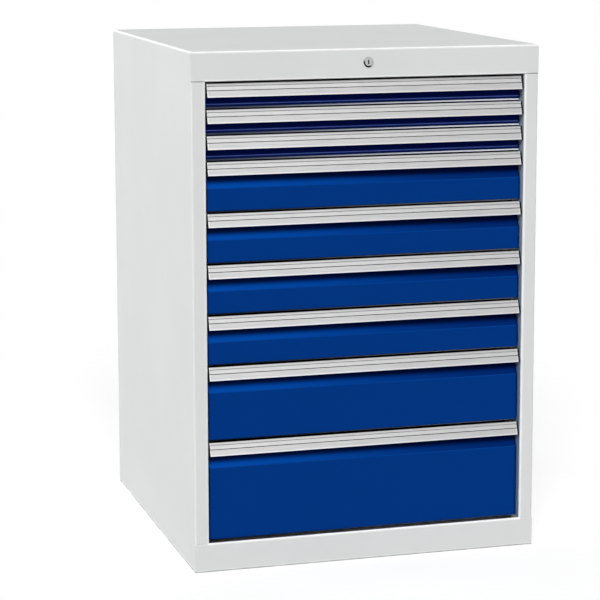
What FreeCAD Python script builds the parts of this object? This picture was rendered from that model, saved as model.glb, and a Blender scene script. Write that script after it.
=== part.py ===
import FreeCAD, Part
import math
import os

# A drawer cabinet: a welded sheet-steel carcass, nine drawers on roller rails that
# come out all the way, and one lock that holds them all shut from behind.
# Millimetres. X runs to the right, the front faces -Y and Z is up. The origin is the
# middle of the footprint, on the floor.

# Carcass
cabinet_width = 705.0
cabinet_depth = 736.0
header_height = 57.5
base_height = 58.0
plinth_hem = 6.0
floor_drop = 12.0
stile_width = 28.5
opening_return = 46.0
edge_flange = 22.0
top_fold = 3.0
carcass_sheet = 1.5
carcass_bend = 1.0
stile_bend = 2.5
seam = 0.3

# Heights of the drawers from the top down, in steps of the slots that their rails hang in
slot_step = 25.0
drawer_steps = [2, 2, 2, 4, 4, 4, 4, 6, 8]
under_drawers = 3.5

# Drawer fronts
end_clearance = 1.6
front_recess = 13.0
front_sheet = 1.2
front_bend = 1.0
slope_depth = 17.0
slope_height = 26.0
shallow_fold = 5.4
shallow_setback = 8.0

# Grip strips, in an aluminium section that leans forward towards its lower lip
grip_gap = 4.7
grip_height = 25.4
grip_top_recess = 10.0
grip_lip_recess = 2.0
grip_wall = 3.0
grip_lip_radius = 1.7
grip_lip_relief = 0.5
grip_flange = 1.6
grip_flange_drop = 6.0
grip_leg_height = 7.0
label_top = 4.2
label_bottom = 14.0
label_undercut = 1.0
label_lip = 1.2
label_recess = 1.9
label_sheet = 0.6
label_play = 0.05
label_groove = 1.4
label_setback = 0.2
cap_thickness = 1.0

# Drawer boxes
box_sheet = 1.0
room_behind_boxes = 100.0
box_under = 4.0
box_flange = 8.0
ledge_lip_setback = 10.0
ledge_lip_height = 2.9

# Rails: three members on each side of a drawer, with rollers between them
rail_height = 26.0
rail_sheet = 1.2
rail_bend = 0.6
rail_flange_gap = 0.9
rail_fin_gap = 0.5
rail_under = 6.0
rail_front_setback = 9.0
rail_rear_setback = 3.0
fixed_rail_overlength = 40.0
roller_inset = 15.0
roller_width = 4.0
roller_gap = 0.3
fin_top_gap = 3.8
fin_end_gap = 2.0
roller_pin_diameter = 6.0
roller_pin_head_diameter = 9.0
roller_pin_head = 0.5
pin_head_gap = 0.4
pin_fit = 0.05

# Uprights, which hold the fixed rails by hooks in a row of slots
upright_setback = 4.0
upright_width = 30.0
upright_sheet = 1.5
upright_inset = 10.0
upright_top_gap = 6.0
rail_hook_width = 8.0
rail_hook_height = 5.0
rail_hook_reach = 2.0
slot_gap = 0.5

# Lock
lock_drop = 27.0
lock_ring_width = 2.0
lock_ring_height = 2.0
lock_ring_rounding = 0.8
lock_dish_width = 2.0
lock_dish_depth = 0.8
lock_body_wall = 2.45
lock_body_length = 22.0
lock_hole_gap = 0.2
lock_nut_flats = 20.0
lock_nut_height = 4.0
core_diameter = 11.0
core_fit = 0.05
core_proud = 0.2
core_tail_diameter = 6.0
core_tail_length = 8.0
key_slot_width = 1.6
key_slot_height = 7.0
key_slot_depth = 12.0
shaft_diameter = 8.0
shaft_hub_diameter = 13.0
shaft_hub_length = 12.0
shaft_hub_gap = 0.3
crank_radius = 10.0
crank_half_swing = math.radians(45)
crank_width = 12.0
crank_sheet = 4.0
crank_pin_diameter = 5.0
crank_pin_overhang = 1.5
crank_to_bar = 4.0
shaft_bracket_setback = 45.0
shaft_bracket_width = 30.0
shaft_bracket_foot = 16.0
shaft_bracket_under = 12.0
bracket_sheet = 2.0

# Lock bar at the rear, which lifts nine hooks behind the catches of the drawers
lock_bar_width = 18.0
lock_bar_sheet = 3.0
lock_bar_rear_gap = 11.0
lock_bar_rest_gap = 0.3
lock_bar_head_edge = 4.5
crank_slot_gap = 0.6
catch_width = 24.0
catch_sheet = 2.0
catch_bottom = 19.0
hook_width = 12.0
hook_sheet = 3.0
hook_reach = 32.0
hook_gap = 1.0
guide_sheet = 1.5
guide_gap = 0.3
guide_height = 20.0
guide_foot = 12.0
guided_drawers = [4, 9]

# How far a cut runs past the metal it cuts
overrun = 5.0

# Sizes and places that follow from the sizes above
drawer_pitches = [steps * slot_step for steps in drawer_steps]
cabinet_height = base_height + under_drawers + sum(drawer_pitches) + header_height
half_width = cabinet_width / 2
front_y = -cabinet_depth / 2
rear_y = cabinet_depth / 2
wall_x = half_width - carcass_sheet
opening_x = half_width - stile_width
opening_top = cabinet_height - header_height
floor_z = base_height - floor_drop
back_panel_y = rear_y - 2 * carcass_sheet
front_x = opening_x - end_clearance - cap_thickness
face_y = front_y + front_recess
slope_top_y = face_y + slope_depth
box_front_y = slope_top_y + front_sheet
box_rear_y = back_panel_y - room_behind_boxes
rail_bay = roller_gap + roller_width + roller_pin_head + pin_head_gap
upright_x = opening_x - upright_setback
fixed_web_x = upright_x - rail_sheet
middle_web_x = fixed_web_x - rail_bay - rail_sheet
drawer_web_x = middle_web_x - rail_bay
box_x = drawer_web_x - rail_sheet
rail_front_y = box_front_y + rail_front_setback
moving_rail_rear_y = box_rear_y - rail_rear_setback
fixed_rail_rear_y = moving_rail_rear_y + fixed_rail_overlength
front_upright_y = rail_front_y + upright_inset
rear_upright_y = fixed_rail_rear_y - upright_inset - upright_width
rear_roller_diameter = rail_height - 2 * rail_sheet - 2 * roller_gap
front_roller_diameter = rear_roller_diameter - rail_sheet - fin_top_gap
rear_roller_height = rail_height / 2
front_roller_height = rail_sheet + roller_gap + front_roller_diameter / 2
fin_height = front_roller_height + front_roller_diameter / 2 + roller_gap
front_roller_y = rail_front_y + roller_inset
rear_roller_y = moving_rail_rear_y - roller_inset
fin_rear_y = rear_roller_y - rear_roller_diameter / 2 - fin_end_gap
lock_z = cabinet_height - lock_drop
lock_dish_diameter = core_diameter + 2 * lock_dish_width
lock_body_diameter = core_diameter + 2 * core_fit + 2 * lock_body_wall
lock_ring_diameter = lock_body_diameter + 2 * lock_ring_width
core_rear_y = front_y + lock_body_length
lock_lift = 2 * crank_radius * math.sin(crank_half_swing)
bar_rear_y = back_panel_y - lock_bar_rear_gap
bar_front_y = bar_rear_y - lock_bar_sheet
hook_front_y = bar_front_y - hook_reach
catch_rear_y = hook_front_y + hook_sheet + hook_gap + catch_sheet
crank_rear_y = bar_front_y - crank_to_bar
crank_pin_x = -crank_radius * math.cos(crank_half_swing)
crank_pin_z = lock_z - crank_radius * math.sin(crank_half_swing)


def block(x, y, z):
    """A block between its low and high X, Y and Z."""
    corner = FreeCAD.Vector(x[0], y[0], z[0])
    return Part.makeBox(x[1] - x[0], y[1] - y[0], z[1] - z[0], corner)


def rod(diameter, start, end):
    """A round rod between two points."""
    start = FreeCAD.Vector(*start)
    run = FreeCAD.Vector(*end) - start
    return Part.makeCylinder(diameter / 2, run.Length, start, run)


def joined(pieces):
    """One solid out of pieces that touch or overlap."""
    return pieces[0].fuse(pieces[1:]).removeSplitter().Solids[0]


def mirrored(solids):
    """The same solids on the other side of the cabinet's middle plane."""
    return [s.mirror(FreeCAD.Vector(0, 0, 0), FreeCAD.Vector(1, 0, 0)) for s in solids]


def in_space(along, a, b, c):
    """The point at a and b in the plane of a cross-section, and at c along its run."""
    if along == "x":
        return FreeCAD.Vector(c, a, b)
    if along == "y":
        return FreeCAD.Vector(a, c, b)
    return FreeCAD.Vector(a, b, c)


def extruded(edges, along, length):
    """The solid between a closed outline and its copy one length further along an axis."""
    direction = in_space(along, 0, 0, length)
    return Part.Face(Part.Wire(Part.__sortEdges__(edges))).extrude(direction)


def prism(outline, along, start, end):
    """A straight piece with a polygon as its cross-section."""
    corners = [in_space(along, a, b, start) for a, b in outline]
    edges = [Part.LineSegment(p, q).toShape() for p, q in zip(corners, corners[1:] + corners[:1])]
    return extruded(edges, along, end - start)


def bent_line(path, offset, bends, thickness):
    """The lines and arcs of one face of a folded sheet, as tuples of 2D points.

    The metal lies on the left of the path. The offset is 0 for the face on the path and the
    thickness for the other face. Bends are the inside radii of the corners, one for each.
    """
    points = [FreeCAD.Vector(a, b, 0) for a, b in path]
    turned = [(q - p).normalize() for p, q in zip(points, points[1:])]
    lefts = [FreeCAD.Vector(-u.y, u.x, 0) for u in turned]
    pieces = []
    last = points[0] + lefts[0] * offset
    for corner, bend, u, v, n, m in zip(points[1:], bends, turned, turned[1:], lefts, lefts[1:]):
        turn = math.atan2(u.cross(v).z, u.dot(v))
        radius = bend + thickness if turn > 0 else bend
        side = math.copysign(1, turn)
        back = radius * math.tan(abs(turn) / 2)
        start = corner - u * back
        end = corner + v * back
        centre = start + n * radius * side
        middle_way = ((start - centre) + (end - centre)).normalize()
        first = start + n * offset
        final = end + m * offset
        middle = centre + middle_way * (radius - side * offset)
        pieces += [(last, first), (first, middle, final)]
        last = final
    return pieces + [(last, points[-1] + lefts[-1] * offset)]


def edges_of(pieces, along, start):
    """Edges in space for the lines and arcs of a bent line."""
    made = []
    for piece in pieces:
        spots = [in_space(along, p.x, p.y, start) for p in piece]
        curve = Part.LineSegment(*spots) if len(spots) == 2 else Part.Arc(*spots)
        made.append(curve.toShape())
    return made


def folded(path, thickness, bends, along, start, end):
    """A sheet folded along a path, with rounded bends; the metal lies on the path's left."""
    near = bent_line(path, 0, bends, thickness)
    far = bent_line(path, thickness, bends, thickness)
    ends = [(near[0][0], far[0][0]), (near[-1][-1], far[-1][-1])]
    return extruded(edges_of(near + far + ends, along, start), along, end - start)


def rounded(solid, radius, chosen):
    """A solid with the edges that pass the test rounded."""
    return solid.makeFillet(radius, [e for e in solid.Edges if chosen(e.BoundBox)])


def save(node, solids):
    """Write one node, as one solid or as a group of separate solids."""
    shape = solids[0] if len(solids) == 1 else Part.makeCompound(solids)
    shape.exportStep("parts/" + node + ".step")


def pitch_bottoms():
    """The height of the bottom of each drawer's place, from the top down."""
    heights = []
    z = opening_top
    for pitch in drawer_pitches:
        z -= pitch
        heights.append(z)
    return heights


def side_panel():
    """The right side panel: wall, rounded front stile folded into the opening, rear flange."""
    rear = [(half_width, rear_y), (half_width - edge_flange, rear_y)]
    stile = [
        (opening_x, front_y + opening_return),
        (opening_x, front_y),
        (half_width, front_y),
    ]
    plain = [(half_width, front_y + carcass_sheet)]
    stile_top = opening_top - seam
    bends = [stile_bend, stile_bend, carcass_bend]
    middle = folded(stile + rear, carcass_sheet, bends, "z", base_height, stile_top)
    low = folded(plain + rear, carcass_sheet, [carcass_bend], "z", 0, base_height)
    high = folded(
        plain + rear, carcass_sheet, [carcass_bend], "z", stile_top, cabinet_height - top_fold
    )
    foot = block(
        (half_width - edge_flange, wall_x + carcass_sheet / 2),
        (front_y + edge_flange + seam, back_panel_y - edge_flange),
        (0, carcass_sheet),
    )
    toe = block(
        (opening_x, opening_x + carcass_sheet),
        (front_y + plinth_hem + carcass_bend, front_y + opening_return),
        (floor_z, base_height + seam),
    )
    return joined([middle, low, high, foot, toe])


def top_cover():
    """The top plate with a short fold all round, and the header with its return."""
    radius = carcass_bend + carcass_sheet
    outside = block((-half_width, half_width), (front_y, rear_y), (opening_top, cabinet_height))
    outside = rounded(outside, radius, lambda b: b.ZMin > opening_top + seam)
    outside = rounded(outside, radius, lambda b: b.ZMax < opening_top + seam and b.YMax < front_y + seam)
    inside = block(
        (-wall_x, wall_x),
        (front_y + carcass_sheet, rear_y - carcass_sheet),
        (opening_top - overrun, cabinet_height - carcass_sheet),
    )
    inside = rounded(inside, carcass_bend, lambda b: b.ZMin > opening_top)
    behind = block(
        (-half_width - overrun, half_width + overrun),
        (front_y + carcass_sheet, rear_y + overrun),
        (opening_top - overrun, cabinet_height - top_fold),
    )
    lower_return = block(
        (-wall_x, wall_x),
        (front_y, front_y + opening_return),
        (opening_top, opening_top + carcass_sheet),
    )
    cover = joined([outside.cut(inside).cut(behind), lower_return.common(outside)])
    hole = rod(
        lock_body_diameter + 2 * lock_hole_gap,
        (0, front_y - overrun, lock_z),
        (0, front_y + overrun, lock_z),
    )
    return cover.cut(hole)


def base_pan():
    """The plinth with its hem, the floor plate, the rear plinth and two foot flanges, in one sheet."""
    path = [
        (back_panel_y - edge_flange, 0),
        (back_panel_y, 0),
        (back_panel_y, floor_z),
        (front_y + plinth_hem, floor_z),
        (front_y + plinth_hem, base_height),
        (front_y, base_height),
        (front_y, 0),
        (front_y + edge_flange, 0),
    ]
    pan = folded(path, carcass_sheet, 6 * [carcass_bend], "x", -half_width, half_width)
    beside = block(
        (wall_x, half_width + overrun),
        (front_y + carcass_sheet, rear_y),
        (-overrun, base_height + overrun),
    )
    return pan.cut([beside] + mirrored([beside])).removeSplitter().Solids[0]


def back_panel():
    """The flat sheet behind the rear plinth and in front of the side panels' flanges."""
    edge = wall_x - carcass_bend
    return block(
        (-edge, edge),
        (back_panel_y, back_panel_y + carcass_sheet),
        (0, cabinet_height - carcass_sheet - carcass_bend),
    )


def slot_heights():
    """The heights of the slots in an upright, from the lowest rail's to the highest rail's."""
    lowest = base_height + under_drawers + rail_under + rail_height / 2
    return [lowest + k * slot_step for k in range(sum(drawer_steps[1:]) + 1)]


def upright(low_y):
    """A channel on the right wall, with its row of slots towards the drawers."""
    high_y = low_y + upright_width
    path = [(wall_x, high_y), (upright_x, high_y), (upright_x, low_y), (wall_x, low_y)]
    top = opening_top - upright_top_gap
    channel = folded(path, upright_sheet, 2 * [carcass_bend], "z", floor_z, top)
    middle = low_y + upright_width / 2
    half_slot_width = rail_hook_width / 2 + slot_gap
    half_slot_height = rail_hook_height / 2 + slot_gap
    slots = [
        block(
            (upright_x - overrun, upright_x + upright_sheet + overrun),
            (middle - half_slot_width, middle + half_slot_width),
            (z - half_slot_height, z + half_slot_height),
        )
        for z in slot_heights()
    ]
    return channel.cut(Part.makeCompound(slots)).Solids[0]


def drawer_front(z, pitch):
    """The folded blue front: bottom return, face, slope behind the grip, upper flange, sides.

    A shallow front has no room for the whole slope, so its face is set back for the fingers.
    """
    top = z + pitch - grip_gap - grip_flange_drop
    fold = z + pitch - grip_gap - grip_height - slope_height
    fold_y = face_y
    if fold < z + shallow_fold:
        fold = z + shallow_fold
        fold_y = face_y + shallow_setback
    path = [
        (slope_top_y, top),
        (slope_top_y, fold + slope_height),
        (fold_y, fold),
        (fold_y, z),
        (box_front_y, z),
    ]
    bends = 3 * [front_bend]
    sheet = folded(path, front_sheet, bends, "x", -front_x, front_x)
    profile = bent_line(path, 0, bends, front_sheet)
    corner = FreeCAD.Vector(box_front_y, top, 0)
    profile += [(profile[-1][-1], corner), (corner, profile[0][0])]
    side = extruded(edges_of(profile, "x", front_x - front_sheet), "x", front_sheet)
    return joined([sheet, side] + mirrored([side]))


def grip_point(top, down, out):
    """The point of the grip's cross-section that lies this far down its face and out of it."""
    lean = grip_top_recess - grip_lip_recess
    length = math.hypot(lean, grip_height)
    y = front_y + grip_top_recess - (down * lean + out * grip_height) / length
    z = top - (down * grip_height - out * lean) / length
    return y, z


def grip_strip(top):
    """The extrusion: a leaning wall with the label channel, a round lip, a flange and a leg."""
    length = math.hypot(grip_top_recess - grip_lip_recess, grip_height)
    end = length - grip_lip_radius
    section = [
        (0, 0),
        (label_top, 0),
        (label_top, -label_lip),
        (label_top - label_undercut, -label_lip),
        (label_top - label_undercut, -label_recess),
        (label_bottom + label_undercut, -label_recess),
        (label_bottom + label_undercut, -label_lip),
        (label_bottom, -label_lip),
        (label_bottom, 0),
        (end, 0),
        (end, -grip_wall),
        (0, -grip_wall),
    ]
    wall = prism([grip_point(top, down, out) for down, out in section], "x", -front_x, front_x)
    lip_y, lip_z = grip_point(top, end, grip_lip_relief - grip_lip_radius)
    lip = rod(2 * grip_lip_radius, (-front_x, lip_y, lip_z), (front_x, lip_y, lip_z))
    flange_top = top - grip_flange_drop
    flange_front, _ = grip_point(top, grip_flange_drop + grip_flange, -(label_recess + grip_wall) / 2)
    flange = block((-front_x, front_x), (flange_front, slope_top_y), (flange_top - grip_flange, flange_top))
    leg = block(
        (-front_x, front_x),
        (slope_top_y - grip_flange, slope_top_y),
        (flange_top - grip_leg_height, flange_top),
    )
    return joined([wall, lip, flange, leg])


def label_strip(top):
    """The strip in the grip's channel: thin edges under its lips, and a thick middle between."""
    high, low = label_top - label_undercut + label_play, label_bottom + label_undercut - label_play
    middle_high, middle_low = label_top + label_groove, label_bottom - label_groove
    edge_face = -label_lip - label_play
    back = edge_face - label_sheet
    section = [
        (high, edge_face),
        (middle_high, edge_face),
        (middle_high, -label_setback),
        (middle_low, -label_setback),
        (middle_low, edge_face),
        (low, edge_face),
        (low, back),
        (high, back),
    ]
    return prism([grip_point(top, down, out) for down, out in section], "x", -front_x, front_x)


def end_cap(top):
    """The moulded cap on the right end of a grip."""
    flange_top = top - grip_flange_drop
    outline = [
        (front_y + grip_top_recess, top),
        (front_y + grip_top_recess + grip_wall, top),
        (slope_top_y, flange_top),
        (slope_top_y, flange_top - grip_leg_height),
        (front_y + grip_lip_recess + 2 * grip_lip_radius, top - grip_height),
        (front_y + grip_lip_recess, top - grip_height),
        (front_y + grip_lip_recess - grip_lip_relief, top - grip_height + grip_lip_radius),
    ]
    return prism(outline, "x", front_x, front_x + cap_thickness)


def drawer_box(z, pitch):
    """The open box: a tray with outward flanges, a wide front wall and a ledge for the front."""
    top = z + pitch - grip_gap - grip_flange_drop
    tray = block((-box_x, box_x), (box_front_y, box_rear_y), (z + box_under, top))
    room = block(
        (-box_x + box_sheet, box_x - box_sheet),
        (box_front_y + box_sheet, box_rear_y - box_sheet),
        (z + box_under + box_sheet, top + overrun),
    )
    wall = block((-front_x, front_x), (box_front_y, box_front_y + box_sheet), (z - box_sheet, top))
    side = block(
        (box_x - box_sheet / 2, box_x + box_flange),
        (box_front_y + box_sheet, box_rear_y),
        (top - box_sheet, top),
    )
    ledge_y = face_y + ledge_lip_setback
    ledge = block((-front_x, front_x), (ledge_y, box_front_y + box_sheet), (z - box_sheet, z))
    lip = block((-front_x, front_x), (ledge_y, ledge_y + box_sheet), (z - ledge_lip_height, z))
    return joined([tray.cut(room), wall, side, ledge, lip] + mirrored([side]))


def catch(z):
    """The bracket on a drawer's rear wall that a hook of the lock bar comes up behind."""
    top = z + catch_bottom + lock_lift + catch_sheet
    across = (-catch_width / 2, catch_width / 2)
    tab = block(across, (box_rear_y, catch_rear_y), (top - catch_sheet, top))
    flange = block(across, (catch_rear_y - catch_sheet, catch_rear_y), (z + catch_bottom, top))
    return joined([tab, flange])


def roller(face_x, out, y, z, diameter):
    """A roller and its pin on one face of a web; out is 1 towards the wall and -1 away from it."""
    near = face_x + out * roller_gap
    far = near + out * roller_width
    hole = roller_pin_diameter + 2 * pin_fit
    wheel = rod(diameter, (near, y, z), (far, y, z))
    bore = rod(hole, (near - out * overrun, y, z), (far + out * overrun, y, z))
    shank = rod(roller_pin_diameter, (face_x - out * rail_sheet, y, z), (far, y, z))
    head = rod(roller_pin_head_diameter, (far, y, z), (far + out * roller_pin_head, y, z))
    return [wheel.cut(bore), joined([shank, head])]


def pin_hole(y, z):
    """The hole for a roller pin through every web of one side at this place."""
    return rod(roller_pin_diameter + 2 * pin_fit, (0, y, z), (half_width, y, z))


def channel_rail(web_x, z, rear):
    """A channel that opens towards the drawer, with its web's far face a sheet outside web_x."""
    near_x = web_x - rail_bay + rail_flange_gap
    far_x = web_x + rail_sheet
    path = [(near_x, z), (far_x, z), (far_x, z + rail_height), (near_x, z + rail_height)]
    return folded(path, rail_sheet, 2 * [rail_bend], "y", rail_front_y, rear)


def fixed_rail(z):
    """The rail on the uprights, with its two hooks and the roller at its front."""
    channel = channel_rail(fixed_web_x, z, fixed_rail_rear_y)
    channel = channel.cut(pin_hole(front_roller_y, z + front_roller_height))
    centre = z + rail_height / 2
    hooks = [
        block(
            (fixed_web_x + rail_sheet / 2, upright_x + upright_sheet + rail_hook_reach),
            (y + (upright_width - rail_hook_width) / 2, y + (upright_width + rail_hook_width) / 2),
            (centre - rail_hook_height / 2, centre + rail_hook_height / 2),
        )
        for y in (front_upright_y, rear_upright_y)
    ]
    wheel = roller(fixed_web_x, -1, front_roller_y, z + front_roller_height, front_roller_diameter)
    return [joined([channel] + hooks)] + wheel


def middle_rail(z):
    """The rail between, carried on its fin by the fixed rail's roller, with two rollers of its own."""
    channel = channel_rail(middle_web_x, z, moving_rail_rear_y)
    fin = block(
        (middle_web_x + rail_sheet / 2, fixed_web_x - rail_fin_gap),
        (rail_front_y, fin_rear_y),
        (z + fin_height, z + fin_height + rail_sheet),
    )
    web = joined([channel, fin]).cut(pin_hole(front_roller_y, z + front_roller_height))
    web = web.cut(pin_hole(rear_roller_y, z + rear_roller_height))
    front = roller(middle_web_x, -1, front_roller_y, z + front_roller_height, front_roller_diameter)
    outer_x = middle_web_x + rail_sheet
    rear = roller(outer_x, 1, rear_roller_y, z + rear_roller_height, rear_roller_diameter)
    return [web] + front + rear


def drawer_rail(z):
    """The angle on the side of a box, carried on its fin, with a roller at its rear."""
    top = z + fin_height + rail_sheet
    fin_x = middle_web_x - rail_fin_gap
    path = [(fin_x, top), (box_x, top), (box_x, z)]
    angle = folded(path, rail_sheet, [rail_bend], "y", rail_front_y, moving_rail_rear_y)
    behind_fin = block(
        (drawer_web_x, fin_x + overrun),
        (fin_rear_y, moving_rail_rear_y + overrun),
        (z - overrun, top + overrun),
    )
    angle = angle.cut(behind_fin).cut(pin_hole(rear_roller_y, z + rear_roller_height))
    wheel = roller(drawer_web_x, 1, rear_roller_y, z + rear_roller_height, rear_roller_diameter)
    return [angle] + wheel


def lock_cylinder():
    """The lock's housing: a dished ring in front of the header and a body behind it."""
    ring_y = front_y - lock_ring_height
    before = (0, ring_y - overrun, lock_z)
    ring = rod(lock_ring_diameter, (0, ring_y, lock_z), (0, front_y, lock_z))
    ring = rounded(ring, lock_ring_rounding, lambda b: b.YMax < ring_y + lock_ring_rounding / 2)
    dish = rod(lock_dish_diameter, before, (0, ring_y + lock_dish_depth, lock_z))
    body = rod(lock_body_diameter, (0, front_y, lock_z), (0, core_rear_y, lock_z))
    bore = rod(core_diameter + 2 * core_fit, before, (0, core_rear_y + overrun, lock_z))
    return joined([ring.cut(dish), body]).cut(bore)


def lock_nut():
    """The hexagon nut that clamps the housing to the header."""
    corner = lock_nut_flats / 2 / math.cos(math.radians(30))
    turns = [math.radians(60 * k) for k in range(6)]
    outline = [(corner * math.cos(a), lock_z + corner * math.sin(a)) for a in turns]
    start = front_y + carcass_sheet
    nut = prism(outline, "y", start, start + lock_nut_height)
    hole = lock_body_diameter + 2 * pin_fit
    end = start + lock_nut_height + overrun
    return nut.cut(rod(hole, (0, start - overrun, lock_z), (0, end, lock_z)))


def lock_core():
    """The core that the key turns, with its slot and the tail that drives the shaft."""
    face = front_y - lock_ring_height + lock_dish_depth - core_proud
    tail_y = core_rear_y + core_tail_length
    barrel = rod(core_diameter, (0, face, lock_z), (0, core_rear_y, lock_z))
    tail = rod(core_tail_diameter, (0, core_rear_y, lock_z), (0, tail_y, lock_z))
    slot = block(
        (-key_slot_width / 2, key_slot_width / 2),
        (face - overrun, face + key_slot_depth),
        (lock_z - key_slot_height / 2, lock_z + key_slot_height / 2),
    )
    return joined([barrel, tail]).cut(slot)


def lock_shaft():
    """The shaft from the core's tail to the rear, with its hub, crank and crank pin."""
    hub = rod(
        shaft_hub_diameter,
        (0, core_rear_y + shaft_hub_gap, lock_z),
        (0, core_rear_y + shaft_hub_length, lock_z),
    )
    socket = rod(
        core_tail_diameter + 2 * core_fit,
        (0, core_rear_y - overrun, lock_z),
        (0, core_rear_y + core_tail_length, lock_z),
    )
    shaft_front_y = core_rear_y + core_tail_length
    shaft = rod(shaft_diameter, (0, shaft_front_y, lock_z), (0, crank_rear_y, lock_z))
    crank_front_y = crank_rear_y - crank_sheet
    arm_length = crank_radius + crank_pin_diameter
    arm = block((-arm_length, 0), (crank_front_y, crank_rear_y), (-crank_width / 2, crank_width / 2))
    arm.rotate(FreeCAD.Vector(0, 0, 0), FreeCAD.Vector(0, 1, 0), -math.degrees(crank_half_swing))
    arm.translate(FreeCAD.Vector(0, 0, lock_z))
    boss = rod(crank_width, (0, crank_front_y, lock_z), (0, crank_rear_y, lock_z))
    pin = rod(
        crank_pin_diameter,
        (crank_pin_x, crank_front_y, crank_pin_z),
        (crank_pin_x, bar_rear_y + crank_pin_overhang, crank_pin_z),
    )
    return joined([hub.cut(socket), shaft, arm, boss, pin])


def lock_bar_strip():
    """The strip that the crank lifts, with the crank pin's slot in its wider head."""
    low = floor_z + lock_bar_rest_gap
    reach = crank_pin_diameter / 2 + crank_slot_gap
    head_reach = reach + lock_bar_head_edge
    head_high = crank_pin_z + head_reach
    thick = (bar_front_y, bar_rear_y)
    half = lock_bar_width / 2
    strip = block((-half, half), thick, (low, head_high))
    head = block((-crank_radius - head_reach, half), thick, (crank_pin_z - head_reach, head_high))
    slot = block(
        (-crank_radius - reach, crank_pin_x + reach),
        (bar_front_y - overrun, bar_rear_y + overrun),
        (crank_pin_z - reach, crank_pin_z + reach),
    )
    return joined([strip, head]).cut(slot)


def lock_hook(z):
    """One hook on the lock bar: an arm under the catch and a tip that rises in front of it."""
    tip_top = z + catch_bottom - hook_gap
    arm_top = tip_top - lock_lift
    across = (-hook_width / 2, hook_width / 2)
    arm = block(across, (hook_front_y, bar_front_y), (arm_top - hook_sheet, arm_top))
    tip = block(across, (hook_front_y, hook_front_y + hook_sheet), (arm_top - hook_sheet, tip_top))
    return joined([arm, tip])


def bar_guide(middle):
    """A strap on the back panel that the lock bar slides in."""
    inner_x = lock_bar_width / 2 + guide_gap
    inner_y = bar_front_y - guide_gap
    outer_x = inner_x + guide_foot
    path = [
        (outer_x, back_panel_y),
        (inner_x, back_panel_y),
        (inner_x, inner_y),
        (-inner_x, inner_y),
        (-inner_x, back_panel_y),
        (-outer_x, back_panel_y),
    ]
    half = guide_height / 2
    return folded(path, guide_sheet, 4 * [guide_gap], "z", middle - half, middle + half)


def shaft_bracket():
    """The hanger under the top plate that carries the rear of the lock shaft."""
    front = crank_rear_y - shaft_bracket_setback
    high = cabinet_height - carcass_sheet
    half = shaft_bracket_width / 2
    plate = block((-half, half), (front, front + bracket_sheet), (lock_z - shaft_bracket_under, high))
    foot = block((-half, half), (front, front + shaft_bracket_foot), (high - bracket_sheet, high))
    hole_diameter = shaft_diameter + 2 * pin_fit
    hole = rod(hole_diameter, (0, front - overrun, lock_z), (0, front + overrun, lock_z))
    return joined([plate, foot]).cut(hole)


os.makedirs("parts", exist_ok=True)
bottoms = pitch_bottoms()

right_panel = side_panel()
save("right_side_panel", [right_panel])
save("left_side_panel", mirrored([right_panel]))
save("top_cover", [top_cover()])
save("base_pan", [base_pan()])
save("back_panel", [back_panel()])

for node, low_y in (("front_uprights", front_upright_y), ("rear_uprights", rear_upright_y)):
    right_upright = upright(low_y)
    save(node, [right_upright] + mirrored([right_upright]))

right_rails = [solid for z in bottoms for solid in fixed_rail(z + rail_under)]
save("right_fixed_rails", right_rails)
save("left_fixed_rails", mirrored(right_rails))

for number, (z, pitch) in enumerate(zip(bottoms, drawer_pitches), start=1):
    name = "drawer_" + str(number)
    grip_top = z + pitch - grip_gap
    right_cap = end_cap(grip_top)
    save(name + "_front", [drawer_front(z, pitch)])
    save(name + "_box", [drawer_box(z, pitch), catch(z)])
    caps = [right_cap] + mirrored([right_cap])
    save(name + "_grip", [grip_strip(grip_top), label_strip(grip_top)] + caps)
    right_middle = middle_rail(z + rail_under)
    save(name + "_middle_rails", right_middle + mirrored(right_middle))
    right_drawer = drawer_rail(z + rail_under)
    save(name + "_rails", right_drawer + mirrored(right_drawer))

save("lock_cylinder", [lock_cylinder()])
save("lock_nut", [lock_nut()])
save("lock_core", [lock_core()])
save("lock_shaft", [lock_shaft()])
save("lock_bar", [lock_bar_strip()] + [lock_hook(z) for z in bottoms])
guide_heights = [bottoms[n - 1] + drawer_pitches[n - 1] / 2 for n in guided_drawers]
save("lock_guides", [bar_guide(height) for height in guide_heights] + [shaft_bracket()])
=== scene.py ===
import bpy
import math
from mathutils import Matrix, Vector


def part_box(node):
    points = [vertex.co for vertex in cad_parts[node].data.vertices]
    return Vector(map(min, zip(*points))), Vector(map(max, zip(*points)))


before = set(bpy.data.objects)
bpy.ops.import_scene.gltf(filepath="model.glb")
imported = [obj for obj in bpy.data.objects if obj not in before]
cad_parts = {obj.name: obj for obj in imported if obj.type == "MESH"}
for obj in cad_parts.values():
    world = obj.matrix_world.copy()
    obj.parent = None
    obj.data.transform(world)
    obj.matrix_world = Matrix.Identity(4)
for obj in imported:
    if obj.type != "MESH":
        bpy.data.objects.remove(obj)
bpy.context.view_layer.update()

bpy.ops.object.select_all(action="DESELECT")


# Carcass. Side panels, header with its top plate, plinth pan and back are folded from 1.5 mm
# sheet steel, spot welded, and powder coated in a light grey with a fine satin skin. The folds
# carry a painted highlight, the returns inside the opening a bluish painted shade and reflection
# that darkens towards the bottom, and the foot an uneven painted contact shadow.

def srgb(red, green, blue):
    """A colour as the eye reads it, 0 to 255, in the shader's linear values."""
    shares = [c / 255 for c in (red, green, blue)]
    linear = [s / 12.92 if s < 0.04045 else ((s + 0.055) / 1.055) ** 2.4 for s in shares]
    return (*linear, 1)


def shader(tree, kind, feeds=None, **settings):
    """One node: settings are its properties, and feeds fill or link its inputs."""
    made = tree.nodes.new("ShaderNode" + kind)
    for name, value in settings.items():
        setattr(made, name, value)
    for socket, value in (feeds or {}).items():
        if isinstance(value, bpy.types.NodeSocket):
            tree.links.new(value, made.inputs[socket])
        else:
            made.inputs[socket].default_value = value
    return made


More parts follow.
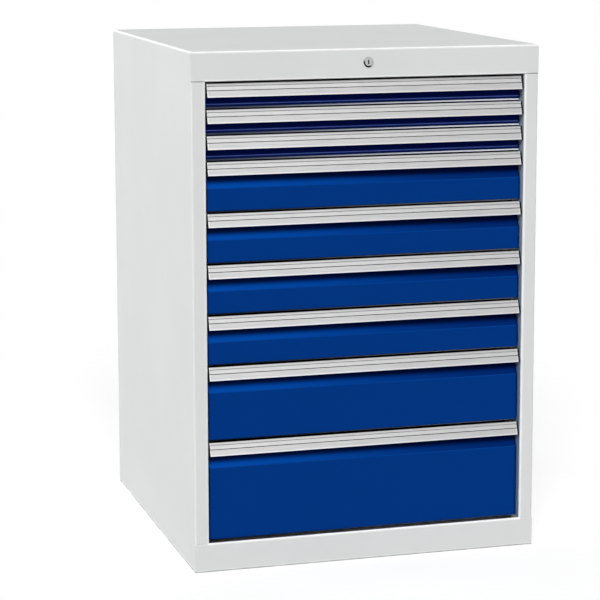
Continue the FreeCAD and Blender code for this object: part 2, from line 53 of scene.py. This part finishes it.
def reckon(tree, operation, *values):
    """The output of a Math node."""
    return shader(tree, "Math", dict(enumerate(values)), operation=operation).outputs[0]


def reckon_vector(tree, operation, *values):
    """The vector output of a Vector Math node."""
    return shader(tree, "VectorMath", dict(enumerate(values)), operation=operation).outputs[0]


def all_of(tree, mask, *others):
    """A mask that holds where all of these do."""
    for other in others:
        mask = reckon(tree, "MULTIPLY", mask, other)
    return mask


def apart(tree, vector):
    """The X, Y and Z of a vector."""
    return shader(tree, "SeparateXYZ", {0: vector}).outputs


def ramped(tree, value, low, high, to_low=0.0, to_high=1.0):
    """A value carried from one range to another, smoothly and clamped."""
    feeds = {"Value": value, "From Min": low, "From Max": high, "To Min": to_low, "To Max": to_high}
    return shader(tree, "MapRange", feeds, interpolation_type="SMOOTHSTEP").outputs["Result"]


def noise(tree, position, scale, detail=2.0, roughness=0.5):
    """The grey value of a noise, at so many grains to the metre."""
    feeds = {"Vector": position, "Scale": scale, "Detail": detail, "Roughness": roughness}
    return shader(tree, "TexNoise", feeds).outputs["Fac"]


def blended(tree, share, first, second, blend_type="MIX"):
    """A colour between two, by a share from 0 to 1."""
    feeds = {0: share, 6: first, 7: second}
    return shader(tree, "Mix", feeds, data_type="RGBA", blend_type=blend_type).outputs[2]


def bumped(tree, surface, height, strength, distance):
    """Raises a material's surface by a height, distance metres at full strength."""
    feeds = {"Height": height, "Strength": strength, "Distance": distance}
    tree.links.new(shader(tree, "Bump", feeds).outputs["Normal"], surface["Normal"])


def shader_group(name, inputs, outputs):
    """An empty shader group with its sockets; gives it, its inputs and its output node's."""
    group = bpy.data.node_groups.new(name, "ShaderNodeTree")
    for label, value in inputs.items():
        kind = "NodeSocketVector" if isinstance(value, tuple) else "NodeSocketFloat"
        socket = group.interface.new_socket(name=label, in_out="INPUT", socket_type=kind)
        socket.default_value = value
    for label in outputs:
        group.interface.new_socket(name=label, in_out="OUTPUT", socket_type="NodeSocketFloat")
    given = group.nodes.new("NodeGroupInput").outputs
    out = group.nodes.new("NodeGroupOutput").inputs
    return group, given, out


def placed(tree, group, feeds):
    """A shader group in a material, with its own values; gives its outputs."""
    return shader(tree, "Group", feeds, node_tree=group).outputs


def powder_skin():
    """The skin of a powder coat: fine pebbles, slow waves and faint clouds."""
    group, given, out = shader_group("powder_skin", {"Position": (0, 0, 0)}, ("Height", "Cloud"))
    pebbles = noise(group, given["Position"], 900.0, 1.0)
    waves = noise(group, given["Position"], 60.0, 2.0)
    clouds = noise(group, given["Position"], 3.0, 4.0, 0.6)
    group.links.new(reckon(group, "MULTIPLY_ADD", waves, 0.35, pebbles), out["Height"])
    group.links.new(clouds, out["Cloud"])
    return group


def fold_edges():
    """A mask along a box's edges, a little uneven, where a coat takes its painted highlight; Along
    picks the edges that run along X, Y and Z."""
    vectors = {"Position": (0, 0, 0), "Low": (0, 0, 0), "High": (1, 1, 1), "Along": (1, 1, 1)}
    group, given, out = shader_group("fold_edges", {**vectors, "Width": 0.002}, ("Edge",))
    under = reckon_vector(group, "SUBTRACT", given["Low"], given["Position"])
    above = reckon_vector(group, "SUBTRACT", given["Position"], given["High"])
    over = apart(group, reckon_vector(group, "MAXIMUM", under, above))
    width = given["Width"]
    near = [ramped(group, reckon(group, "ABSOLUTE", side), 0.0, width, 1.0, 0.0) for side in over]
    within = [ramped(group, side, 0.0, width, 1.0, 0.0) for side in over]
    along = apart(group, given["Along"])
    edge = 0.0
    for a, b, c in ((0, 1, 2), (1, 2, 0), (2, 0, 1)):
        run = all_of(group, near[a], near[b], within[c], along[c])
        edge = reckon(group, "MAXIMUM", edge, run)
    uneven = ramped(group, noise(group, given["Position"], 25.0, 4.0), 0.3, 0.6, 0.7, 1.0)
    group.links.new(all_of(group, edge, uneven), out["Edge"])
    return group


POWDER_SKIN = powder_skin()
FOLD_EDGES = fold_edges()


def new_material(name):
    """A material with a Principled shader; gives it, its tree, the shader's inputs and the
    position on the piece."""
    material = bpy.data.materials.new(name)
    material.use_nodes = True
    tree = material.node_tree
    surface = tree.nodes["Principled BSDF"].inputs
    position = shader(tree, "TexCoord").outputs["Object"]
    return material, tree, surface, position


def powder_coat(name, colour, highlight_and_cloud, folds, gloss, specular):
    """A sprayed and baked coat; folds are the (low, high, along, width) of boxes whose edges get a
    painted highlight.
    Gives the material, its tree, the shader's inputs, the position and the coat's colour."""
    material, tree, surface, position = new_material(name)
    skin = placed(tree, POWDER_SKIN, {"Position": position})
    edge = 0.0
    for low, high, along, width in folds:
        feeds = {"Position": position, "Low": low, "High": high, "Along": along, "Width": width}
        edge = reckon(tree, "MAXIMUM", edge, placed(tree, FOLD_EDGES, feeds)["Edge"])
    cloud = ramped(tree, skin["Cloud"], 0.35, 0.65, 0.0, 0.06)
    # Along the folds the coat leans to its highlight colour as a painted highlight; the faint
    # clouds lean a little towards it as real mottling.
    coated = blended(tree, reckon(tree, "MAXIMUM", edge, cloud), colour, highlight_and_cloud)
    tree.links.new(coated, surface["Base Color"])
    rough = reckon(tree, "MULTIPLY_ADD", skin["Cloud"], 0.08, gloss)
    tree.links.new(reckon(tree, "MULTIPLY_ADD", edge, -0.08, rough), surface["Roughness"])
    surface["Specular IOR Level"].default_value = specular
    bumped(tree, surface, skin["Height"], 0.5, 0.00003)
    return material, tree, surface, position, coated


def dress(node, material):
    """Gives a CAD node its finish."""
    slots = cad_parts[node].data.materials
    slots.clear()
    slots.append(material)


panel_low, panel_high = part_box("left_side_panel")
header_low, header_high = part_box("top_cover")
pan_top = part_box("base_pan")[1].z
opening_x = 0.324
fold_width = 0.006
tolerance = 0.0004
corner_y, inside_y = panel_low.y + 0.002, panel_low.y + 0.005
foot_height = 0.004
body = (Vector((header_low.x, header_low.y, 0)), header_high, (1, 1, 0), fold_width)
opening = (
    Vector((-opening_x, panel_low.y, pan_top)),
    Vector((opening_x, panel_high.y, header_low.z)),
    (1, 0, 1),
    fold_width,
)
grey_coat, tree, surface, position, coated = powder_coat(
    "light_grey_coat",
    colour=srgb(214, 215, 215),
    highlight_and_cloud=srgb(252, 252, 252),
    folds=[body, opening],
    gloss=0.6,
    specular=0.08,
)
place = apart(tree, position)
# Painted shade on the stiles' returns inside the opening, tinted blue as a painted reflection of
# the fronts and darker towards the bottom.
opening_side = all_of(
    tree,
    reckon(tree, "COMPARE", reckon(tree, "ABSOLUTE", place["X"]), opening_x, tolerance),
    reckon(tree, "GREATER_THAN", place["Z"], pan_top),
    reckon(tree, "LESS_THAN", place["Z"], header_low.z),
    ramped(tree, place["Y"], corner_y, inside_y),
)
by_height = ramped(tree, place["Z"], 0.2, 0.85)
opening_shade_colour = blended(tree, by_height, srgb(138, 160, 190), srgb(174, 190, 204))
coated = blended(tree, opening_side, coated, opening_shade_colour)
# Painted contact shadow along the lowest 4 mm of the foot, broken up unevenly by noise.
foot_shade_breaks = ramped(tree, noise(tree, position, 30.0, 4.0), 0.3, 0.55, 0.4, 1.0)
foot_shade = all_of(tree, ramped(tree, place["Z"], 0.001, foot_height, 1.0, 0.0), foot_shade_breaks)
tree.links.new(blended(tree, foot_shade, coated, srgb(168, 169, 171)), surface["Base Color"])
for node in ("left_side_panel", "right_side_panel", "top_cover", "base_pan", "back_panel"):
    dress(node, grey_coat)


# Uprights, lock bar and guides. Cold-rolled strip, punched and folded, then zinc plated: a dull
# silver with faint clouds from the bath and rolling streaks along each strip.

def drawn_streaks():
    """Streaks along one axis, as rolling, drawing or extruding leaves them."""
    inputs = {"Position": (0, 0, 0), "Stretch": (1, 1, 1)}
    group, given, out = shader_group("drawn_streaks", inputs, ("Streak",))
    stretched = reckon_vector(group, "MULTIPLY", given["Position"], given["Stretch"])
    group.links.new(noise(group, stretched, 800.0, 3.0, 0.6), out["Streak"])
    return group


DRAWN_STREAKS = drawn_streaks()


def zinc_plate(name, stretch):
    """Zinc over steel strip; gives the material, its tree, the shader's inputs, the position and
    the zinc's colour."""
    material, tree, surface, position = new_material(name)
    streak = placed(tree, DRAWN_STREAKS, {"Position": position, "Stretch": stretch})["Streak"]
    cloud = noise(tree, position, 45.0, 4.0, 0.65)
    tone = reckon(tree, "MULTIPLY_ADD", streak, 0.3, reckon(tree, "MULTIPLY", cloud, 0.7))
    colour = blended(tree, tone, srgb(158, 162, 168), srgb(216, 219, 222))
    tree.links.new(colour, surface["Base Color"])
    surface["Metallic"].default_value = 1.0
    tree.links.new(ramped(tree, tone, 0.25, 0.75, 0.48, 0.32), surface["Roughness"])
    bumped(tree, surface, streak, 0.4, 0.00003)
    return material, tree, surface, position, colour


strip_zinc = zinc_plate("zinc_along_height", (1, 1, 0.03))[0]
for node in ("front_uprights", "rear_uprights", "lock_bar", "lock_guides"):
    dress(node, strip_zinc)


# Rails. The same zinc strip, rolled to channels and angles, with moulded polyamide rollers that
# turn on steel pins. The rollers are off-white and a little greyer towards the worn rim.

def from_axis(tree, first, second):
    """The distance from an axis, by the offsets from it in two directions."""
    squares = [reckon(tree, "MULTIPLY", offset, offset) for offset in (first, second)]
    return reckon(tree, "SQRT", reckon(tree, "ADD", *squares))


def roller_wheels():
    """A mask over the rollers of one row: those on this axis, at this distance from the middle.
    The rows are a multiple of the drawers' 50 mm step apart."""
    half_roller, half_step, pin_radius = 0.0021, 0.025, 0.00302
    inputs = {"Position": (0, 0, 0), "Axis": (0, 0, 0), "Radius": 0.009}
    group, given, out = shader_group("roller_wheels", inputs, ("Wheel", "Rim"))
    place = apart(group, given["Position"])
    axis = apart(group, given["Axis"])
    from_middle = reckon(group, "ABSOLUTE", place["X"])
    across = reckon(group, "COMPARE", from_middle, axis["X"], half_roller)
    height = reckon(group, "SUBTRACT", place["Z"], axis["Z"])
    height = reckon(group, "WRAP", height, half_step, -half_step)
    length = reckon(group, "SUBTRACT", place["Y"], axis["Y"])
    away = from_axis(group, height, length)
    reach = reckon(group, "DIVIDE", away, given["Radius"])
    beyond_pin = reckon(group, "GREATER_THAN", away, pin_radius)
    wheel = all_of(group, reckon(group, "LESS_THAN", reach, 1.01), across, beyond_pin)
    group.links.new(wheel, out["Wheel"])
    group.links.new(ramped(group, reach, 0.6, 1.0), out["Rim"])
    return group


ROLLER_WHEELS = roller_wheels()
FRONT_ROLLERS = {"y": -0.3128, "z": 0.028, "radius": 0.009}
REAR_ROLLERS = {"y": 0.247, "z": 0.0305, "radius": 0.0115}


def rail_finish(name, rows):
    """Zinc rails with polyamide rollers; rows are (distance from the middle, rollers) pairs."""
    material, tree, surface, position, zinc = zinc_plate(name, (1, 0.03, 1))
    wheel, rim = 0.0, 0.0
    for middle, rollers in rows:
        axis = (middle, rollers["y"], rollers["z"])
        feeds = {"Position": position, "Axis": axis, "Radius": rollers["radius"]}
        row = placed(tree, ROLLER_WHEELS, feeds)
        wheel = reckon(tree, "MAXIMUM", wheel, row["Wheel"])
        rim = reckon(tree, "MAXIMUM", rim, all_of(tree, row["Wheel"], row["Rim"]))
    polyamide = blended(tree, rim, srgb(222, 219, 210), srgb(192, 190, 184))
    tree.links.new(blended(tree, wheel, zinc, polyamide), surface["Base Color"])
    tree.links.new(reckon(tree, "SUBTRACT", 1.0, wheel), surface["Metallic"])
    return material


fixed_finish = rail_finish("fixed_rails", [(0.3165, FRONT_ROLLERS)])
middle_rows = [(0.3101, FRONT_ROLLERS), (0.3159, REAR_ROLLERS)]
middle_finish = rail_finish("middle_rails", middle_rows)
drawer_finish = rail_finish("drawer_rails", [(0.3095, REAR_ROLLERS)])
drawers = range(1, 10)
for node in ("left_fixed_rails", "right_fixed_rails"):
    dress(node, fixed_finish)
for n in drawers:
    dress(f"drawer_{n}_middle_rails", middle_finish)
    dress(f"drawer_{n}_rails", drawer_finish)


# Drawer boxes. Folded trays in a grey coat that take the blue fronts. Over each grip the box
# above shows as a narrow ledge, painted in shade on the left and in light on the right.

box_coat, tree, surface, position, coated = powder_coat(
    "drawer_grey_coat",
    colour=srgb(176, 180, 188),
    highlight_and_cloud=srgb(205, 208, 214),
    folds=[],
    gloss=0.45,
    specular=0.3,
)
place = apart(tree, position)
drawer_step, ledge_height, ledge_y = 0.05, 0.005, -0.3362
above_step = reckon(tree, "SUBTRACT", place["Z"], header_low.z)
above_step = reckon(tree, "WRAP", above_step, drawer_step - ledge_height, -ledge_height)
at_ledge = reckon(tree, "LESS_THAN", above_step, 0.0)
ledge = all_of(tree, at_ledge, reckon(tree, "LESS_THAN", place["Y"], ledge_y))
# Painted light and shade on the ledge: dark on the left, bright on the right.
to_right = ramped(tree, place["X"], -0.3, 0.3)
ledge_light_and_shade = blended(tree, to_right, srgb(62, 70, 92), srgb(236, 240, 252))
tree.links.new(blended(tree, ledge, coated, ledge_light_and_shade), surface["Base Color"])
for n in drawers:
    dress(f"drawer_{n}_box", box_coat)


# Blue fronts. Each is one folded sheet with a slope behind the grip for the fingers, in a deep
# blue powder coat. Light and shade are painted on: a painted highlight along the fold, painted
# light on the lower slope, brighter to the left, painted shadow under the grip and at the ends,
# and a darker shaded copy of the blue on the three low fronts, which stand close under the grips.

slope_height, low_front_fold = 0.026, 0.0054
fold_line, end_shade, bare_end = 0.0016, 0.004, 0.0002
past_ends = Vector((0.01, 0, 0.01))
for n in drawers:
    front_low, front_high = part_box(f"drawer_{n}_front")
    grip_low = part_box(f"drawer_{n}_grip")[0]
    lowest_fold = front_low.z + low_front_fold
    fold_z = max(lowest_fold, grip_low.z - slope_height)
    low_front = fold_z == lowest_fold
    face_high = Vector((front_high.x + past_ends.x, front_high.y, fold_z))
    # The fold line takes a painted highlight; on the three low fronts the whole blue is a darker
    # copy, painted shade under the grips.
    blue_coat, tree, surface, position, coated = powder_coat(
        f"blue_coat_{n}",
        colour=srgb(0, 19, 76) if low_front else srgb(0, 51, 124),
        highlight_and_cloud=srgb(86, 106, 188) if low_front else srgb(6, 60, 138),
        folds=[(front_low - past_ends, face_high, (1, 0, 0), fold_line)],
        gloss=0.42,
        specular=0.03,
    )
    place = apart(tree, position)
    # Painted shade over the slope: under the grip it darkens to navy, and on tall fronts its lit
    # lower part is painted light, brighter to the left.
    slope_light_and_shade = srgb(0, 24, 98)
    if not low_front:
        to_right = ramped(tree, place["X"], -0.32, 0.32)
        lit_slope = blended(tree, to_right, srgb(2, 67, 153), srgb(0, 35, 99))
        up_slope = ramped(tree, place["Z"], fold_z + 0.002, fold_z + 0.024)
        slope_light_and_shade = blended(tree, up_slope, lit_slope, srgb(0, 24, 84))
    above_fold = ramped(tree, place["Z"], fold_z + 0.0006, fold_z + 0.0014)
    coated = blended(tree, above_fold, coated, slope_light_and_shade)
    # Painted shadow at both ends of each front, beside the stiles.
    from_middle = reckon(tree, "ABSOLUTE", place["X"])
    end_shadow = all_of(
        tree,
        ramped(tree, from_middle, front_high.x - end_shade, front_high.x - 0.0006),
        reckon(tree, "LESS_THAN", from_middle, front_high.x - bare_end),
    )
    tree.links.new(blended(tree, end_shadow, coated, srgb(0, 16, 52)), surface["Base Color"])
    dress(f"drawer_{n}_front", blue_coat)


# Grip strips. Extruded aluminium, satin anodised, that leans out towards its round lower lip.
# A pale plastic label strip slides in its channel with painted shade in the grooves above and
# below it. The lower lip and the sawn ends carry a painted highlight, a black cap closes each end
# and its black runs a little onto the aluminium as painted shade, and the aluminium is painted
# darker towards its right end.

grip_finish, tree, surface, position = new_material("grip_aluminium")
place = apart(tree, position)
front_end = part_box("drawer_1_front")[1].x
grip_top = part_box("drawer_1_grip")[1].z
lean = math.atan2(8.0, 25.4)
face_top_y, above_top = -0.358, 0.005
label_middle, label_half, label_depth = -0.0091, 0.0035, 0.0008
joint_middle, joint_half, joint_depth = 0.0042, 0.0009, 0.0004
lip_top, lip_end = -0.0226, -0.0244
cap_and_shade_x = front_end - 0.0018
sawn_from, sawn_to = front_end - 0.0046, front_end - 0.0024

height = reckon(tree, "SUBTRACT", place["Z"], grip_top)
height = reckon(tree, "WRAP", height, above_top, above_top - drawer_step)
forward = reckon(tree, "SUBTRACT", place["Y"], face_top_y)
from_top = shader(tree, "CombineXYZ", {"Y": forward, "Z": height}).outputs[0]
turned = shader(
    tree, "VectorRotate", {"Vector": from_top, "Angle": lean}, rotation_type="X_AXIS"
)
on_face = apart(tree, turned.outputs[0])
depth, down_face = on_face["Y"], on_face["Z"]
from_label = reckon(tree, "ABSOLUTE", reckon(tree, "SUBTRACT", down_face, label_middle))
groove_shade = all_of(
    tree,
    reckon(tree, "COMPARE", from_label, joint_middle, joint_half),
    reckon(tree, "GREATER_THAN", depth, joint_depth),
)
lower_half = reckon(tree, "LESS_THAN", down_face, label_middle)
upper_half = reckon(tree, "SUBTRACT", 1.0, lower_half)
label = all_of(
    tree,
    reckon(tree, "LESS_THAN", from_label, label_half),
    reckon(tree, "LESS_THAN", depth, label_depth),
)
from_middle = reckon(tree, "ABSOLUTE", place["X"])
cap_and_end_shade = reckon(tree, "GREATER_THAN", from_middle, cap_and_shade_x)
sawn = ramped(tree, from_middle, sawn_from, sawn_to)

streak = placed(tree, DRAWN_STREAKS, {"Position": position, "Stretch": (0.02, 1, 1)})["Streak"]
tone = ramped(tree, streak, 0.3, 0.7)
bare = blended(tree, tone, srgb(208, 208, 208), srgb(226, 226, 226))
# Painted highlight on the lower lip and the sawn ends.
lip_and_end_highlight = reckon(tree, "MAXIMUM", sawn, ramped(tree, down_face, lip_top, lip_end))
bare = blended(tree, lip_and_end_highlight, bare, srgb(250, 250, 251))
plastic = blended(tree, noise(tree, position, 40.0), srgb(204, 204, 204), srgb(218, 218, 217))
coloured = blended(tree, label, bare, plastic)
# Painted shade: the aluminium grows darker towards the right end.
to_right = ramped(tree, place["X"], -0.4, 0.4)
coloured = blended(tree, to_right, coloured, srgb(230, 230, 231), "MULTIPLY")
# Painted shade in the grooves beside the label, lighter above than below.
coloured = blended(tree, all_of(tree, groove_shade, upper_half), coloured, srgb(150, 151, 154))
coloured = blended(tree, all_of(tree, groove_shade, lower_half), coloured, srgb(60, 61, 64))
# Black cap at each end; the black also runs a little onto the aluminium as painted shade beside the
# stiles.
tree.links.new(blended(tree, cap_and_end_shade, coloured, srgb(10, 10, 11)), surface["Base Color"])
not_metal = reckon(tree, "MAXIMUM", cap_and_end_shade, reckon(tree, "MAXIMUM", groove_shade, label))
tree.links.new(reckon(tree, "SUBTRACT", 1.0, not_metal), surface["Metallic"])
tree.links.new(ramped(tree, streak, 0.2, 0.8, 0.42, 0.3), surface["Roughness"])
surface["Specular IOR Level"].default_value = 0.1
bumped(tree, surface, streak, 0.3, 0.00002)
for n in drawers:
    dress(f"drawer_{n}_grip", grip_finish)


# Lock. A chromed housing whose dished ring carries a painted shadow on its lower left, a nut
# behind the header, a turning core with its key slot painted in shade, and the long bright shaft
# to the crank at the rear.

def bright_metal(name, tone, roughness):
    """Polished or drawn metal, with the faint marks of the tool along its axis; gives the
    material, its tree, the shader's inputs, the position and the metal's colour."""
    material, tree, surface, position = new_material(name)
    streak = placed(tree, DRAWN_STREAKS, {"Position": position, "Stretch": (1, 0.1, 1)})["Streak"]
    darker = (*(c * 0.85 for c in tone[:3]), 1)
    colour = blended(tree, streak, darker, tone)
    tree.links.new(colour, surface["Base Color"])
    surface["Metallic"].default_value = 1.0
    tree.links.new(reckon(tree, "MULTIPLY_ADD", streak, 0.1, roughness), surface["Roughness"])
    return material, tree, surface, position, colour


lock_z = header_high.z - 0.027
ring_start, ring_dark = 0.007, 0.0076
slot_half_width, slot_half_height = 0.0013, 0.0042


def from_lock(tree, position):
    """The offsets from the lock's axis to the right and up."""
    place = apart(tree, position)
    return place["X"], reckon(tree, "SUBTRACT", place["Z"], lock_z)


dress("lock_nut", bright_metal("lock_nut_chrome", srgb(222, 223, 226), 0.08)[0])
dress("lock_shaft", bright_metal("shaft_steel", srgb(190, 190, 190), 0.3)[0])

chrome, tree, surface, position, colour = bright_metal("lock_chrome", srgb(194, 194, 196), 0.1)
right, up = from_lock(tree, position)
radius = from_axis(tree, right, up)
# Painted shadow, near black, on the ring's lower left.
down_left = reckon(tree, "MULTIPLY_ADD", right, -0.6, reckon(tree, "MULTIPLY", up, -0.8))
down_left = reckon(tree, "DIVIDE", down_left, radius)
on_ring = ramped(tree, radius, ring_start, ring_dark)
lower_left_shadow = all_of(tree, ramped(tree, down_left, 0.15, 0.6), on_ring)
tree.links.new(blended(tree, lower_left_shadow, colour, srgb(8, 8, 9)), surface["Base Color"])
dress("lock_cylinder", chrome)

nickel, tree, surface, position, colour = bright_metal(
    "lock_core_nickel", srgb(200, 200, 200), 0.22
)
right, up = from_lock(tree, position)
# The key slot and a little around it are painted near black, as the shade inside the slot.
slot_shade = all_of(
    tree,
    reckon(tree, "LESS_THAN", reckon(tree, "ABSOLUTE", right), slot_half_width),
    reckon(tree, "LESS_THAN", reckon(tree, "ABSOLUTE", up), slot_half_height),
)
tree.links.new(blended(tree, slot_shade, colour, srgb(6, 6, 7)), surface["Base Color"])
dress("lock_core", nickel)


# Studio. A pale floor that runs out to a white surround, soft light from above the front and
# from the left, weaker light from the right and behind, and the camera a little above the top.

def seen_directly(tree):
    """1 for rays that show the surround itself: to the camera, in a gloss or through glass."""
    path = shader(tree, "LightPath").outputs
    seen = reckon(tree, "MAXIMUM", path["Is Camera Ray"], path["Is Glossy Ray"])
    return reckon(tree, "MAXIMUM", seen, path["Is Transmission Ray"])


floor_glow, horizon_glow, zenith_glow = 0.687, 0.3, 0.02
bpy.ops.mesh.primitive_plane_add(size=60, location=(0, 0, 0))
floor = bpy.context.object
floor.name = "floor"
floor_finish, tree, surface, position = new_material("pale_floor")
surface["Base Color"].default_value = (0.35, 0.35, 0.35, 1)
surface["Roughness"].default_value = 0.9
surface["Specular IOR Level"].default_value = 0.0
surface["Emission Color"].default_value = (1, 1, 1, 1)
glow = reckon(tree, "MULTIPLY", seen_directly(tree), floor_glow)
tree.links.new(glow, surface["Emission Strength"])
floor.data.materials.append(floor_finish)

world = bpy.data.worlds.new("studio")
bpy.context.scene.world = world
world.use_nodes = True
tree = world.node_tree
height = apart(tree, shader(tree, "TexCoord").outputs["Generated"])["Z"]
sky_glow = ramped(tree, height, -0.1, 0.7, horizon_glow, zenith_glow)
background = tree.nodes["Background"].inputs
tree.links.new(reckon(tree, "MAXIMUM", seen_directly(tree), sky_glow), background["Strength"])
background["Color"].default_value = (1, 1, 1, 1)


def soft_light(name, left, elevation, share, spread):
    """A wide far lamp, so many degrees to the left of the front; share 1 lights a face fully."""
    lamp = bpy.data.lights.new(name, "SUN")
    lamp.energy = share * math.pi
    lamp.angle = math.radians(spread)
    made = bpy.data.objects.new(name, lamp)
    bpy.context.scene.collection.objects.link(made)
    made.rotation_euler = (math.radians(90 - elevation), 0, -math.radians(left))
    made.visible_glossy = False


soft_light("key", left=18, elevation=39.5, share=0.965, spread=25)
soft_light("fill", left=0, elevation=8, share=0.1, spread=60)
soft_light("left", left=108, elevation=5, share=0.82, spread=30)
soft_light("right", left=-105, elevation=6, share=0.6, spread=40)
soft_light("back", left=180, elevation=2, share=0.5, spread=30)

camera_data = bpy.data.cameras.new("camera")
camera_data.lens = 133.95
camera_data.sensor_width = 36
camera_data.shift_y = -0.075
camera = bpy.data.objects.new("camera", camera_data)
bpy.context.scene.collection.objects.link(camera)
camera.location = (-1.3241, -4.473, 1.3126)
camera.rotation_euler = [math.radians(a) for a in (80.81, 0.12, -16.13)]
bpy.context.scene.camera = camera
bpy.context.scene.view_settings.view_transform = "Standard"
